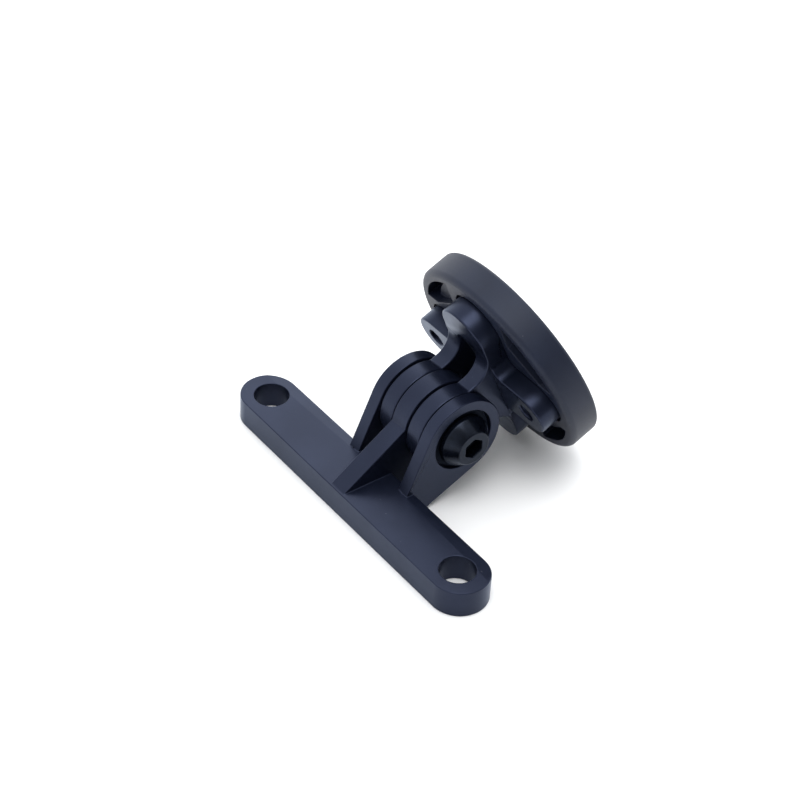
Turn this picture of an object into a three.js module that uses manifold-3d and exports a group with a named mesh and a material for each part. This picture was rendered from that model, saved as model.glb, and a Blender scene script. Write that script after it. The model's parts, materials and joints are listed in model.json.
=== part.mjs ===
// Two-hole swivel bracket: a flat bar with a three-eared hinge that carries a round
// quarter-turn receiver on a two-fingered head.
// Millimetres, +Z up. X runs along the bar, Y runs back towards the head, and the origin is
// on the bar's underside, midway between its two bolt holes.
import * as THREE from 'three';
import { mergeVertices } from 'three/addons/utils/BufferGeometryUtils.js';
import Module from 'manifold-3d';

const wasm = await Module();
wasm.setup();
const { Manifold, Mesh: ManifoldMesh } = wasm;

// ---- Driving dimensions ---------------------------------------------------------------

// Bar
const barLength = 57.2;
const barWidth = 9.2;
const barThickness = 4.5;
const barEdge = 0.25; // bevel round the top and bottom edges
const mountHoleInset = 5.1; // from each end of the bar to the axis of its bolt hole
const mountHoleDiameter = 5.5;

// Hinge: three ears on the bar, two fingers on the head, one bolt along X
const hingeReach = 8.75; // from the bar's back face to the hinge axis
const hingeRise = 6.3; // from the bar's top face to the hinge axis
const earRadius = 6.85;
const outerEarThickness = 2.2;
const middleEarThickness = 3.2;
const fingerThickness = 2.9;
const fingerRadius = 6.7;
const slideGap = 0.25; // between an ear and a finger
const earFootLap = 1.4; // how far the outer ears stand on the bar's top face
const earFootHeel = 1.6; // how far the ears reach behind the bar at its underside
const ribToe = 0.4; // from the bar's front face to the tip of the middle ear's rib
const ribPass = 4.6; // from the hinge axis to the line of the rib's top edge

// Hinge bolt, washer and nut
const boltDiameter = 4.9;
const boltClearance = 0.3; // all round the bolt, in the ears and the fingers
const boltHeadDiameter = 8.5;
const boltHeadTipDiameter = 5.6;
const boltHeadRim = 0.95; // height of the head's straight part
const boltHeadTaper = 2.05; // height of its tapered part
const boltSocketAcross = 3;
const boltSocketDepth = 2;
const washerDiameter = 9.8;
const washerClearance = 0.25; // all round the washer, in its counterbore
const counterboreDepth = 1.1;
const washerThickness = 0.5;
const nutAcross = 8;
const nutThickness = 2.7;
const nutPocketDepth = 1;
const boltTail = 0.6; // thread showing past the nut
const seatGap = 0.05; // between faces that rest on each other square to the frame

// Head: fingers, neck and cross-shaped flange, with Y as the axis of the puck
const headTilt = 23.8; // degrees that the puck's axis rises above level
const neckHalfHeight = 4.8;
const neckFillet = 3.4;
const flangeSetback = 9.3; // from the hinge axis to the flange's rear face
const flangeThickness = 3.45;
const tongueLip = 0.15; // how much wider the tongues are than the fingers, on each side
const tongueInset = 2.35; // from the puck's edge to the rounded end of each tongue
const lobeRadius = 3.8;
const lobeInset = 2.5; // from the puck's edge to the rounded end of each screw lobe
const armFillet = 2;
const slotDepth = 1.6; // how deep the finger slot runs into the flange
const slotCutterRadius = 29;

// Puck
const puckDiameter = 34.3;
const puckDepth = 5.2;
const puckRearRound = 1;
const puckFrontRound = 0.6;
const puckSeat = 0.6; // how deep the flange sits in the puck's rear face
const partGap = 0.3; // between pieces that are fitted together inside the tilted head
const rimWall = 1.75;
const lobeLand = 0.6; // solid land kept beside the seat of each lobe
const tongueLand = 1.2; // solid land kept beside the seat of each tongue
const pocketLobeEnd = 2.47; // width of each pocket's end beside a lobe, from the rim wall in
const pocketTongueEnd = 4.9; // the same beside a tongue
const pocketWeb = 1; // floor left between the pockets and the well
const rimPocketWeb = 1.8; // floor left between the deep rim pockets and the front face
const rimPocketInset = 0.5; // wall kept between the lug groove and the deep rim pockets
const lugMargin = 0.4; // from the edge of a screw's head to the wall of the lug groove
const lugReach = 3.3; // how far the lugs reach under the lip
const lugHalfAngle = 28; // half the width of each entry notch, in degrees
const lipThickness = 1.2;
const lugThickness = 1.6;

// Receiver screws
const screwDiameter = 2.5;
const threadGap = 0.25; // all round the screw, in the flange
const screwHeadDiameter = 4.7;
const screwHeadHeight = 1.25;
const screwSocketAcross = 2;
const screwSocketDepth = 0.9;
const screwEndRecess = 1.4; // from the flange's rear face to the screw's end
const screwSink = 0.1; // the head's top lies this far under the well's floor

// Roundness: chords in a half turn of an outline arc, and in a full turn of a turned piece
const arcSteps = 14;
const turnSteps = 56;

// ---- Derived places ---------------------------------------------------------------------

const barBack = barWidth / 2;
const hingeY = barBack + hingeReach;
const hingeZ = barThickness + hingeRise;
const mountHoleX = barLength / 2 - mountHoleInset;
const middleEarX = middleEarThickness / 2;
const fingerInX = middleEarX + slideGap;
const fingerOutX = fingerInX + fingerThickness;
const outerEarInX = fingerOutX + slideGap;
const outerEarOutX = outerEarInX + outerEarThickness;
const boltHoleRadius = boltDiameter / 2 + boltClearance;
const counterboreRadius = washerDiameter / 2 + washerClearance;
const flangeFront = flangeSetback + flangeThickness;
const puckRear = flangeFront + partGap - puckSeat;
const puckFront = puckRear + puckDepth;
const puckRadius = puckDiameter / 2;
const wellFloor = puckFront - lipThickness - lugThickness;
const screwX = puckRadius - lobeInset - lobeRadius;
const tongueHalfWidth = fingerOutX + tongueLip;
const tongueReach = puckRadius - tongueInset;
const lugRadius = screwX + screwHeadDiameter / 2 + lugMargin;
const wellRadius = lugRadius - lugReach;
const past = 1; // how far a cutter runs past the face that it opens

const degrees = THREE.MathUtils.degToRad;
const axisX = new THREE.Vector3(1, 0, 0);
const axisY = new THREE.Vector3(0, 1, 0);
const axisZ = new THREE.Vector3(0, 0, 1);

// ---- Materials --------------------------------------------------------------------------

function look(color, roughness, metalness) {
  return new THREE.MeshStandardMaterial({ color, roughness, metalness });
}

const satinBlack = look(0x303238, 0.42, 0.9);
const boltBlack = look(0x1f2126, 0.35, 0.9);
const steel = look(0x8d9096, 0.35, 1);
const mattPlastic = look(0x1d1e21, 0.72, 0);

// ---- Solids -----------------------------------------------------------------------------

function solid(geometry) {
  const bare = geometry.clone();
  bare.deleteAttribute('normal');
  bare.deleteAttribute('uv');
  const merged = mergeVertices(bare, 1e-4);
  return new Manifold(new ManifoldMesh({
    numProp: 3,
    vertProperties: merged.attributes.position.array,
    triVerts: new Uint32Array(merged.index.array),
  }));
}

function piece(name, body, material) {
  const { vertProperties, triVerts } = body.getMesh();
  const geometry = new THREE.BufferGeometry();
  geometry.setAttribute('position', new THREE.BufferAttribute(vertProperties, 3));
  geometry.setIndex(new THREE.BufferAttribute(triVerts, 1));
  geometry.computeVertexNormals();
  const mesh = new THREE.Mesh(geometry, material);
  mesh.name = name;
  return mesh;
}

function extrude(shape, depth) {
  return new THREE.ExtrudeGeometry(shape, {
    depth,
    bevelEnabled: false,
    curveSegments: arcSteps,
  });
}

// An outline drawn in (Y, Z), pushed along X from one station to the other.
function alongX(shape, from, to) {
  const geometry = extrude(shape, to - from);
  geometry.applyMatrix4(new THREE.Matrix4().makeBasis(axisY, axisZ, axisX));
  geometry.translate(from, 0, 0);
  return solid(geometry);
}

// An outline drawn in (X, Z), pushed along Y from one station to the other.
function alongY(shape, from, to) {
  const geometry = extrude(shape, to - from);
  const toBack = axisY.clone().negate();
  geometry.applyMatrix4(new THREE.Matrix4().makeBasis(axisX, axisZ, toBack));
  geometry.translate(0, to, 0);
  return solid(geometry);
}

function disc(radius, u = 0, v = 0) {
  return new THREE.Shape().absarc(u, v, radius, 0, 2 * Math.PI, false);
}

function hexagon(across, u = 0, v = 0) {
  const radius = across / 2 / Math.cos(Math.PI / 6);
  const corners = [];
  for (let i = 0; i < 6; i += 1) {
    const angle = (i + 0.5) * Math.PI / 3;
    corners.push(new THREE.Vector2(u + radius * Math.cos(angle), v + radius * Math.sin(angle)));
  }
  return new THREE.Shape(corners);
}

// A profile of [radius, station] pairs turned about the Y axis.
function turned(profile) {
  const points = profile.map(([radius, station]) => new THREE.Vector2(radius, station));
  return new THREE.LatheGeometry(points, turnSteps);
}

// The same, with the stations running along +X and the axis at (y, z).
function turnedAlongX(profile, y, z) {
  const geometry = turned(profile);
  geometry.rotateZ(-Math.PI / 2);
  geometry.translate(0, y, z);
  return solid(geometry);
}

// Points on a quarter round of a turned profile, between two angles about its centre.
function quarterRound(radius, station, round, fromAngle, toAngle) {
  const steps = 3;
  const points = [];
  for (let i = 0; i <= steps; i += 1) {
    const angle = degrees(fromAngle + (toAngle - fromAngle) * i / steps);
    points.push([radius + round * Math.cos(angle), station + round * Math.sin(angle)]);
  }
  return points;
}

// ---- Base bracket -----------------------------------------------------------------------

function barSolid() {
  const round = barWidth / 2;
  const endX = barLength / 2 - round;
  const outline = new THREE.Shape();
  outline.absarc(endX, 0, round, -Math.PI / 2, Math.PI / 2, false);
  outline.absarc(-endX, 0, round, Math.PI / 2, 1.5 * Math.PI, false);
  outline.closePath();
  for (const side of [-1, 1]) {
    outline.holes.push(disc(mountHoleDiameter / 2, side * mountHoleX, 0));
  }
  const geometry = new THREE.ExtrudeGeometry(outline, {
    depth: barThickness - 2 * barEdge,
    bevelEnabled: true,
    bevelThickness: barEdge,
    bevelSize: barEdge,
    bevelOffset: -barEdge,
    bevelSegments: 1,
    curveSegments: arcSteps,
  });
  geometry.translate(0, 0, barEdge);
  return solid(geometry);
}

// The direction of the line from a point that touches the ears' round; side is 1 above the
// round's centre and -1 below it.
function tangentFrom(y, z, side) {
  const toCentre = Math.atan2(hingeZ - z, hingeY - y);
  const distance = Math.hypot(hingeZ - z, hingeY - y);
  return toCentre + side * Math.asin(earRadius / distance);
}

// Closes an ear's outline: round the hinge, down its straight underside, back to the heel.
function closeEar(outline, fromAngle) {
  const heelY = barBack + earFootHeel;
  const underside = tangentFrom(heelY, 0, -1);
  outline.absarc(hingeY, hingeZ, earRadius, fromAngle, underside - Math.PI / 2, true);
  outline.lineTo(heelY, 0);
  outline.closePath();
  return outline;
}

function outerEarShape() {
  const footY = barBack - earFootLap;
  const front = tangentFrom(footY, barThickness, 1);
  const outline = new THREE.Shape();
  outline.moveTo(footY, 0);
  outline.lineTo(footY, barThickness);
  return closeEar(outline, front + Math.PI / 2);
}

// The middle ear's rib runs straight from the bar's front edge into the ear's round, on a line
// that passes just above the hinge axis.
function middleEarShape() {
  const toeY = ribToe - barWidth / 2;
  const toCentre = new THREE.Vector2(hingeY - toeY, hingeZ - barThickness);
  const slope = toCentre.angle() + Math.asin(ribPass / toCentre.length());
  const along = Math.sqrt(toCentre.lengthSq() - ribPass ** 2);
  const reach = along - Math.sqrt(earRadius ** 2 - ribPass ** 2);
  const meetY = toeY + reach * Math.cos(slope);
  const meetZ = barThickness + reach * Math.sin(slope);
  const outline = new THREE.Shape();
  outline.moveTo(toeY, barThickness / 2);
  outline.lineTo(toeY, barThickness);
  outline.lineTo(meetY, meetZ);
  closeEar(outline, Math.atan2(meetZ - hingeZ, meetY - hingeY));
  return outline;
}

function baseBracket() {
  const outer = outerEarShape();
  let body = barSolid()
    .add(alongX(outer, outerEarInX, outerEarOutX))
    .add(alongX(outer, -outerEarOutX, -outerEarInX))
    .add(alongX(middleEarShape(), -middleEarX, middleEarX));
  const bore = disc(boltHoleRadius, hingeY, hingeZ);
  const counterbore = disc(counterboreRadius, hingeY, hingeZ);
  const nutPocket = hexagon(nutAcross + 2 * seatGap, hingeY, hingeZ);
  body = body
    .subtract(alongX(bore, -outerEarOutX - past, outerEarOutX + past))
    .subtract(alongX(counterbore, outerEarOutX - counterboreDepth, outerEarOutX + past))
    .subtract(alongX(nutPocket, -outerEarOutX - past, -outerEarOutX + nutPocketDepth));
  return piece('base_bracket', body, satinBlack);
}

// ---- Hinge bolt, washer and nut -----------------------------------------------------------

const washerX = outerEarOutX - counterboreDepth + seatGap;
const boltSeatX = washerX + washerThickness + seatGap;
const nutFaceX = -outerEarOutX + nutPocketDepth - seatGap;
const nutEndX = nutFaceX - nutThickness;

function hingeBolt() {
  const shank = boltDiameter / 2;
  const rimX = boltSeatX + boltHeadRim;
  const tipX = rimX + boltHeadTaper;
  const head = turnedAlongX([
    [0, nutEndX - boltTail],
    [shank - 0.4, nutEndX - boltTail],
    [shank, nutEndX - boltTail + 0.4],
    [shank, boltSeatX],
    [boltHeadDiameter / 2, boltSeatX],
    [boltHeadDiameter / 2, rimX],
    [boltHeadTipDiameter / 2, tipX],
    [0, tipX],
  ], hingeY, hingeZ);
  const socket = alongX(hexagon(boltSocketAcross, hingeY, hingeZ), tipX - boltSocketDepth, tipX + past);
  return piece('hinge_bolt', head.subtract(socket), boltBlack);
}

function ringAlongX(outline, boreRadius, from, to) {
  const bore = disc(boreRadius, hingeY, hingeZ);
  return alongX(outline, from, to).subtract(alongX(bore, from - past, to + past));
}

function hingeWasher() {
  const outline = disc(washerDiameter / 2, hingeY, hingeZ);
  const body = ringAlongX(outline, boltHoleRadius, washerX, washerX + washerThickness);
  return piece('hinge_washer', body, steel);
}

function hingeNut() {
  const outline = hexagon(nutAcross, hingeY, hingeZ);
  const body = ringAlongX(outline, boltDiameter / 2 + 2 * seatGap, nutEndX, nutFaceX);
  return piece('hinge_nut', body, boltBlack);
}

// ---- Head bracket -------------------------------------------------------------------------

// The flange's cross in (X, Z): two tongues up and down and two round screw lobes left and
// right, all grown outwards by the same margin.
function crossShape(margin) {
  const tongue = tongueHalfWidth + margin;
  const tongueTop = tongueReach - tongueHalfWidth;
  const lobe = lobeRadius + margin;
  const fillet = armFillet - Math.min(margin, armFillet / 2);
  const outline = new THREE.Shape();
  for (let quarter = 0; quarter < 2; quarter += 1) {
    const side = quarter === 0 ? 1 : -1;
    const turn = quarter * Math.PI;
    outline.absarc(side * screwX, 0, lobe, turn - Math.PI / 2, turn + Math.PI / 2, false);
    outline.absarc(side * (tongue + fillet), side * (lobe + fillet), fillet,
      turn + 1.5 * Math.PI, turn + Math.PI, true);
    outline.absarc(0, side * tongueTop, tongue, turn, turn + Math.PI, false);
    outline.absarc(-side * (tongue + fillet), side * (lobe + fillet), fillet,
      turn, turn - Math.PI / 2, true);
  }
  outline.closePath();
  return outline;
}

// A finger in (Y, Z): its round, a straight neck, and a fillet out to the flange's face.
function fingerShape() {
  const flare = neckHalfHeight + neckFillet;
  const filletY = flangeSetback - neckFillet;
  const neckStart = Math.asin(neckHalfHeight / fingerRadius);
  const rootY = flangeSetback + flangeThickness / 2;
  const outline = new THREE.Shape();
  outline.moveTo(rootY, -flare);
  outline.lineTo(flangeSetback, -flare);
  outline.absarc(filletY, -flare, neckFillet, 0, Math.PI / 2, false);
  outline.absarc(0, 0, fingerRadius, -neckStart, neckStart, true);
  outline.absarc(filletY, flare, neckFillet, -Math.PI / 2, 0, false);
  outline.lineTo(rootY, flare);
  outline.closePath();
  return outline;
}

function headBracket() {
  const finger = fingerShape();
  const slot = disc(slotCutterRadius, flangeSetback + slotDepth - slotCutterRadius, 0);
  const bore = disc(boltHoleRadius);
  let body = alongY(crossShape(0), flangeSetback, flangeFront)
    .add(alongX(finger, fingerInX, fingerOutX))
    .add(alongX(finger, -fingerOutX, -fingerInX))
    .subtract(alongX(slot, -fingerInX, fingerInX))
    .subtract(alongX(bore, -fingerOutX - past, fingerOutX + past));
  for (const side of [-1, 1]) {
    const thread = disc(screwDiameter / 2 + threadGap, side * screwX, 0);
    body = body.subtract(alongY(thread, flangeSetback - past, flangeFront + past));
  }
  return piece('head_bracket', body, satinBlack);
}

// ---- Puck ---------------------------------------------------------------------------------

// One of the four lightening pockets in the rear face, between the rim wall and the land that
// holds the flange; sideX and sideZ pick the quarter.
function pocketShape(sideX, sideZ) {
  const radius = puckRadius - rimWall;
  const landHeight = lobeRadius + partGap + lobeLand;
  const landWidth = tongueHalfWidth + partGap + tongueLand;
  const low = Math.asin(landHeight / radius);
  const high = Math.acos(landWidth / radius);
  const outline = new THREE.Shape();
  const steps = arcSteps / 2;
  for (let i = 0; i <= steps; i += 1) {
    const angle = low + (high - low) * i / steps;
    const x = sideX * radius * Math.cos(angle);
    const z = sideZ * radius * Math.sin(angle);
    if (i === 0) {
      outline.moveTo(x, z);
    } else {
      outline.lineTo(x, z);
    }
  }
  outline.lineTo(sideX * landWidth, sideZ * (radius * Math.sin(high) - pocketTongueEnd));
  outline.lineTo(sideX * (radius * Math.cos(low) - pocketLobeEnd), sideZ * landHeight);
  outline.closePath();
  return outline;
}

// The notch that lets one lug of the quarter-turn fitting in through the lip.
function notchShape(side) {
  const half = degrees(lugHalfAngle);
  const middle = side > 0 ? 0 : Math.PI;
  const inner = wellRadius - past;
  const outline = new THREE.Shape();
  outline.absarc(0, 0, lugRadius, middle - half, middle + half, false);
  outline.absarc(0, 0, inner, middle + half, middle - half, true);
  outline.closePath();
  return outline;
}

function puckBlank() {
  const rearRadius = puckRadius - puckRearRound;
  const frontRadius = puckRadius - puckFrontRound;
  const rear = quarterRound(rearRadius, puckRear + puckRearRound, puckRearRound, -90, 0);
  const front = quarterRound(frontRadius, puckFront - puckFrontRound, puckFrontRound, 0, 90);
  return solid(turned([[0, puckRear], ...rear, ...front, [0, puckFront]]));
}

function puckBody() {
  const grooveTop = puckFront - lipThickness;
  const pocketFloor = wellFloor - pocketWeb;
  const rimPocketFloor = puckFront - rimPocketWeb;
  const deepRing = disc(puckRadius);
  deepRing.holes.push(disc(lugRadius + rimPocketInset));
  let pockets = alongY(pocketShape(1, 1), puckRear - past, rimPocketFloor);
  for (const [sideX, sideZ] of [[-1, 1], [-1, -1], [1, -1]]) {
    pockets = pockets.add(alongY(pocketShape(sideX, sideZ), puckRear - past, rimPocketFloor));
  }
  const shallow = alongY(disc(puckRadius), puckRear - past, pocketFloor);
  const deep = alongY(deepRing, puckRear - past, rimPocketFloor);
  let body = puckBlank()
    .subtract(alongY(crossShape(partGap), puckRear - past, puckRear + puckSeat))
    .subtract(pockets.intersect(shallow))
    .subtract(pockets.intersect(deep))
    .subtract(alongY(disc(lugRadius), wellFloor, grooveTop))
    .subtract(alongY(disc(wellRadius), wellFloor, puckFront + past));
  for (const side of [-1, 1]) {
    const hole = disc(screwDiameter / 2 + partGap, side * screwX, 0);
    body = body
      .subtract(alongY(notchShape(side), wellFloor, puckFront + past))
      .subtract(alongY(hole, puckRear - past, wellFloor + past))
      .subtract(countersink(side));
  }
  return piece('puck_body', body, mattPlastic);
}

// ---- Receiver screws ----------------------------------------------------------------------

// The head's cone, with the shank's end at the bottom; grown by a margin it cuts its own seat.
function screwProfile(margin, end) {
  const top = wellFloor - screwSink;
  const shank = screwDiameter / 2 + margin;
  const head = screwHeadDiameter / 2 + margin;
  return [
    [0, end],
    [shank, end],
    [shank, top - screwHeadHeight],
    [head, top],
    [head, top + (margin > 0 ? past : 0)],
    [0, top + (margin > 0 ? past : 0)],
  ];
}

function countersink(side) {
  const geometry = turned(screwProfile(partGap, puckRear));
  geometry.translate(side * screwX, 0, 0);
  return solid(geometry);
}

function receiverScrew(side) {
  const profile = screwProfile(0, flangeSetback + screwEndRecess).filter(
    (point, index, all) => index === 0 || point[0] !== all[index - 1][0] || point[1] !== all[index - 1][1],
  );
  const geometry = turned(profile);
  geometry.translate(side * screwX, 0, 0);
  const top = wellFloor - screwSink;
  const socket = alongY(hexagon(screwSocketAcross, side * screwX, 0), top - screwSocketDepth, top + past);
  const name = side < 0 ? 'receiver_screw_left' : 'receiver_screw_right';
  return piece(name, solid(geometry).subtract(socket), boltBlack);
}

// ---- Assembly -----------------------------------------------------------------------------

const group = new THREE.Group();
group.add(baseBracket());
group.add(hingeBolt());
group.add(hingeWasher());
group.add(hingeNut());

const head = new THREE.Group();
head.position.set(0, hingeY, hingeZ);
head.rotation.x = degrees(headTilt);
head.add(headBracket());
head.add(puckBody());
head.add(receiverScrew(-1));
head.add(receiverScrew(1));
group.add(head);

export default group;
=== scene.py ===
# %% [markdown]
# # A small tilt bracket with a round receiver
# The bracket is two machined metal pieces and a moulded disc. A flat bar with two bolt holes
# carries three hinge ears. A forked head turns between the ears on one clamping screw, and
# holds the disc that a quarter-turn fitting locks into. The measured model is loaded first, and
# every finer piece below takes its place from it.

# %% Load the measured model
import json
import math

import bmesh
import bpy
from mathutils import Matrix, Vector


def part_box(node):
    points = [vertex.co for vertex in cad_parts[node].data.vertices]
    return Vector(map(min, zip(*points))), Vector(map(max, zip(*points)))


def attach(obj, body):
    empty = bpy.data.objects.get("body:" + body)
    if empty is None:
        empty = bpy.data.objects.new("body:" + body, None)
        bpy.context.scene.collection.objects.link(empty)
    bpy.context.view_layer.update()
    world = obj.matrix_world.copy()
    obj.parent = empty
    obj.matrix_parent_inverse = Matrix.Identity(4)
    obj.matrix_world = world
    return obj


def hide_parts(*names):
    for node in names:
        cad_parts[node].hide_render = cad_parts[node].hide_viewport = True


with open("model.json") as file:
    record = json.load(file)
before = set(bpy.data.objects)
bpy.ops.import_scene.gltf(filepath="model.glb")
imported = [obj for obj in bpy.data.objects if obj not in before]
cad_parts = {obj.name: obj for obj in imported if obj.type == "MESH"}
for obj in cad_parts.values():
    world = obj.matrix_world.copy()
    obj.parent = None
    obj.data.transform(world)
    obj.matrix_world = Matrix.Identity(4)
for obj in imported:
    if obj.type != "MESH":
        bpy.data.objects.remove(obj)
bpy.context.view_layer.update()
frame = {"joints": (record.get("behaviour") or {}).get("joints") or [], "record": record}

# %% [markdown]
# ## Places and units
# Small hardware is easiest to think about in millimetres, so the pieces are drawn in
# millimetres and scaled to metres as their last step. The hinge axis and the head's tilt are
# read from the record, because every piece of the head is drawn level, with its disc's axis
# along Y and the hinge at the origin, and then tipped up into place.

# %% Read the hinge and the tilt
MM = 0.001
tilt_joint = next(j for j in frame["joints"] if j["name"] == "head_tilt")
face_mount = next(m for m in frame["record"]["mounts"] if m["name"] == "puck_face")
HINGE = Vector(tilt_joint["pos_m"]) / MM
TILT = math.atan2(face_mount["axis"][2], face_mount["axis"][1])
TO_METRES = Matrix.Scale(MM, 4)
BAR_PLACE = TO_METRES
HEAD_PLACE = TO_METRES @ Matrix.Translation(HINGE) @ Matrix.Rotation(TILT, 4, "X")
print("hinge at", [round(side, 2) for side in HINGE], "mm, tilt", round(math.degrees(TILT), 1))

# %% [markdown]
# ## A pen for outlines
# Plates and ears are flat shapes pushed through a thickness, as a saw or a milling cutter
# leaves them. The pen draws such a shape: a straight stretch extrudes the last point, and a
# round stretch spins it about a centre, so arcs are true arcs. The closed line becomes one face
# and then a solid plate. A lathe spins the same kind of line about an axis instead. Plates
# could be edited from cubes and cylinders, but an outline keeps a shape's sizes in one place.

# %% The pen
ARC_STEP = math.radians(5)
LATHE_STEPS = 144
WELD = 0.001
FACING = {
    "X": Matrix(((0, 0, 1), (1, 0, 0), (0, 1, 0))).to_4x4(),
    "Y": Matrix(((1, 0, 0), (0, 0, -1), (0, 1, 0))).to_4x4(),
    "Z": Matrix.Identity(4),
}


class Pen:
    """Draws a line of points (u, v), and makes solids from it."""

    def __init__(self, u, v):
        self.bm = bmesh.new()
        self.tip = self.bm.verts.new((u, v, 0))
        self.start = self.tip

    def line(self, u, v):
        """A straight stretch to a point."""
        grown = bmesh.ops.extrude_vert_indiv(self.bm, verts=[self.tip])
        self.tip = grown["verts"][0]
        self.tip.co = (u, v, 0)
        return self

    def arc(self, u, v, degrees):
        """A round stretch about a centre, anticlockwise where the degrees are positive."""
        angle = math.radians(degrees)
        steps = max(2, round(abs(angle) / ARC_STEP))
        spun = bmesh.ops.spin(self.bm, geom=[self.tip], cent=(u, v, 0), axis=(0, 0, 1),
                              angle=angle, steps=steps, use_duplicate=False)
        self.tip = next(g for g in spun["geom_last"] if isinstance(g, bmesh.types.BMVert))
        return self

    def close(self):
        """Joins the line's two ends, if they haven't met already."""
        bmesh.ops.remove_doubles(self.bm, verts=self.bm.verts, dist=WELD)
        ends = [v for v in self.bm.verts if len(v.link_edges) == 1]
        if ends:
            self.bm.edges.new(ends)
        return self

    def plate(self, name, facing, start, end):
        """The outline as a solid, from one station to the other along the axis it faces."""
        self.close()
        face = bmesh.ops.contextual_create(self.bm, geom=self.bm.edges)["faces"][0]
        grown = bmesh.ops.extrude_face_region(self.bm, geom=[face])["geom"]
        moved = [g for g in grown if isinstance(g, bmesh.types.BMVert)]
        bmesh.ops.translate(self.bm, verts=moved, vec=(0, 0, end - start))
        near = -end if facing == "Y" else start
        turn = FACING[facing] @ Matrix.Translation((0, 0, near))
        bmesh.ops.transform(self.bm, matrix=turn, verts=self.bm.verts)
        return solid(name, self.bm)

    def lathe(self, name, steps=LATHE_STEPS):
        """The line spun about the v axis; it starts and ends on the axis, or closes."""
        line = self.bm.verts[:] + self.bm.edges[:]
        bmesh.ops.spin(self.bm, geom=line, axis=(0, 1, 0), angle=2 * math.pi, steps=steps,
                       use_merge=True, use_duplicate=False)
        return solid(name, self.bm)


# %% From a bmesh to an object
def solid(name, bm):
    """A bmesh as an object, closed and facing outwards."""
    bmesh.ops.remove_doubles(bm, verts=bm.verts, dist=WELD)
    bmesh.ops.recalc_face_normals(bm, faces=bm.faces)
    mesh = bpy.data.meshes.new(name)
    bm.to_mesh(mesh)
    bm.free()
    made = bpy.data.objects.new(name, mesh)
    bpy.context.scene.collection.objects.link(made)
    return made


def disc(u, v, radius):
    """A full circle for the pen."""
    return Pen(u + radius, v).arc(u, v, 180).arc(u, v, 180)


def hexagon(u, v, across):
    """A hexagon for the pen, by its width between two flats."""
    corner = across / 2 / math.cos(math.pi / 6)
    points = [(math.cos(math.radians(a)), math.sin(math.radians(a))) for a in range(30, 390, 60)]
    pen = Pen(u + corner * points[0][0], v + corner * points[0][1])
    for cu, cv in points[1:]:
        pen.line(u + corner * cu, v + corner * cv)
    return pen


print("ready to draw, with arcs in steps of", round(math.degrees(ARC_STEP)), "degrees")

# %% [markdown]
# ## Cutting and joining
# A bore or a pocket is a tool's shape taken out of the stock, which is what a boolean does. The
# same shapes could be modelled face by face, but then each place where two of them meet has to
# be worked out by hand. The exact solver is chosen because it copes with faces that lie in one
# plane, which plates are full of. Each modifier is applied at once, so a piece stays one mesh.

# %% Boolean helpers
def apply(piece):
    """Makes the piece's modifiers part of its mesh."""
    bpy.context.view_layer.update()
    graph = bpy.context.evaluated_depsgraph_get()
    mesh = bpy.data.meshes.new_from_object(piece.evaluated_get(graph))
    piece.modifiers.clear()
    piece.data = mesh


def boolean(piece, operation, tools):
    """Combines the piece with each tool in turn, and throws the tools away."""
    for tool in tools:
        change = piece.modifiers.new("tool", "BOOLEAN")
        change.operation = operation
        change.solver = "EXACT"
        change.object = tool
        apply(piece)
        bpy.data.objects.remove(tool)
    return piece


def join(piece, *tools):
    """Adds the tools' shapes to the piece."""
    return boolean(piece, "UNION", tools)


def cut(piece, *tools):
    """Takes the tools' shapes out of the piece."""
    return boolean(piece, "DIFFERENCE", tools)


# %% [markdown]
# ## Broken edges
# No real edge is a knife edge. A small round on every corner catches a thin bright line, and
# that line is most of what makes metal look like metal. The bevel modifier rounds whatever
# turns by more than a set angle, so one width does for a whole piece. Booleans leave slivers
# that are shorter than the round is wide, so they are merged away first.

# %% Bevel helper
SLIVER = 0.02
LEVEL = math.radians(0.5)
ROUND_FROM = math.radians(24)
ROUND_STEPS = 3


def break_edges(piece, width):
    """Rounds every edge that turns by more than a few degrees."""
    bm = bmesh.new()
    bm.from_mesh(piece.data)
    bmesh.ops.remove_doubles(bm, verts=bm.verts, dist=SLIVER)
    bmesh.ops.dissolve_degenerate(bm, dist=SLIVER, edges=bm.edges)
    bmesh.ops.dissolve_limit(bm, angle_limit=LEVEL, verts=bm.verts, edges=bm.edges)
    bm.to_mesh(piece.data)
    bm.free()
    rounding = piece.modifiers.new("broken edges", "BEVEL")
    rounding.limit_method = "ANGLE"
    rounding.angle_limit = ROUND_FROM
    rounding.width = width
    rounding.segments = ROUND_STEPS
    rounding.miter_outer = "MITER_ARC"
    rounding.use_clamp_overlap = False
    apply(piece)
    return piece


print("edges are rounded where they turn by more than", round(math.degrees(ROUND_FROM)), "degrees")

# %% [markdown]
# ## From a shape to a finished piece
# Where a corner of one face meets the middle of another's side, booleans and bevels leave a
# hairline gap, so each piece is sealed first. Its faces are then shaded smooth up to a set
# angle, and weighted normals keep flat faces flat right up to their rounds. Only the mesh is
# moved to its place. The object stays at the origin, as a measured piece does.

# %% Sealing and placing
GAP = 0.002
SHARP_FROM = math.radians(32)
FACE_WEIGHT = 90


def seal(piece):
    """Closes the hairline gaps that boolean and bevel leave, and drops loose edges."""
    bm = bmesh.new()
    bm.from_mesh(piece.data)
    loose = [e for e in bm.edges if not e.link_faces]
    bmesh.ops.delete(bm, geom=loose, context="EDGES")
    bmesh.ops.remove_doubles(bm, verts=bm.verts, dist=GAP)
    bmesh.ops.holes_fill(bm, edges=[e for e in bm.edges if e.is_boundary], sides=0)
    print(piece.name, "open edges:", sum(not e.is_manifold for e in bm.edges))
    bm.to_mesh(piece.data)
    bm.free()


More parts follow.
